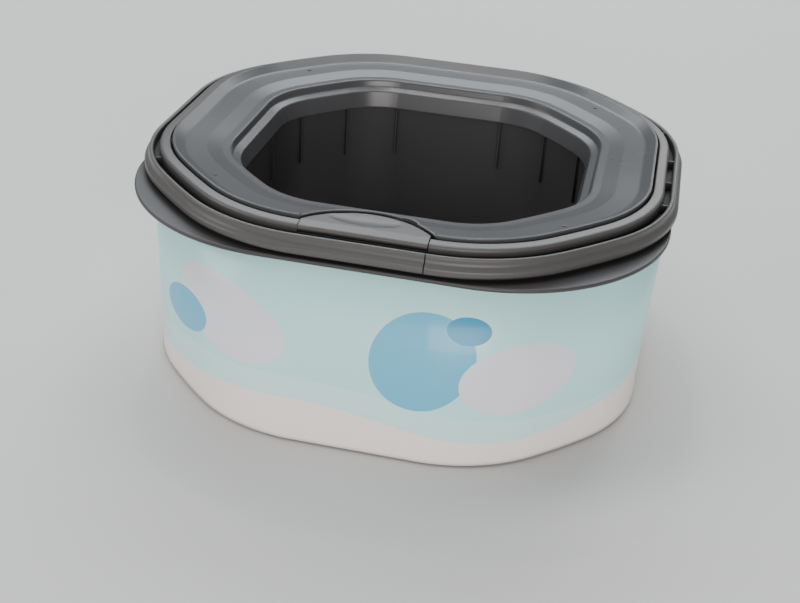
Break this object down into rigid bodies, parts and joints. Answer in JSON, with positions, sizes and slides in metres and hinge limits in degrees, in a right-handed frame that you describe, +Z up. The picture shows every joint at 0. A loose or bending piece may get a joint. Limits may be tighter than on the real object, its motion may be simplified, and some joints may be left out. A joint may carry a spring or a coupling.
{
  "type": "nappy bin refill cassette",
  "caption": "Eight-sided ring-shaped refill cassette for a nappy bin: labelled tub of pleated film round an open middle, funnel cover, tear-off ring and pull tab.",
  "frame": {"origin": "middle of the base, on the surface that the cassette stands on", "axes": "+Z up through the open middle, +X to the right along the longer side, front with the pull tab towards -Y"},
  "size_m": [0.2132, 0.2082, 0.093],
  "materials": {
    "tub_plastic": "satin moulded polypropylene, dark grey",
    "label_film": "satin printed film, pale aqua over a pale pinkish white",
    "bag_film": "thin glossy film, pale blue, folded tight",
    "cover_plastic": "satin moulded polypropylene, mid grey",
    "ring_plastic": "satin moulded polypropylene, mid grey"
  },
  "bodies": {
    "cassette": {"tub": "tub_plastic", "wrap_label": "label_film", "film_pack": "bag_film", "film_collar": "bag_film"},
    "lid": {"cover": "cover_plastic"},
    "ring": {"tear_ring": "ring_plastic"},
    "tab": {"pull_tab": "ring_plastic"}
  },
  "joints": [
    {"name": "cover_lift", "type": "slide", "parent": "cassette", "child": "lid", "axis": [0, 0, 1], "range_m": [0, 0.03]},
    {"name": "ring_lift", "type": "slide", "parent": "cassette", "child": "ring", "axis": [0, 0, 1], "range_m": [0, 0.06]},
    {"name": "tab_pull", "type": "hinge", "parent": "ring", "child": "tab", "pos_m": [0, -0.0966, 0.09], "axis": [1, 0, 0], "range_deg": [0, 70]}
  ]
}
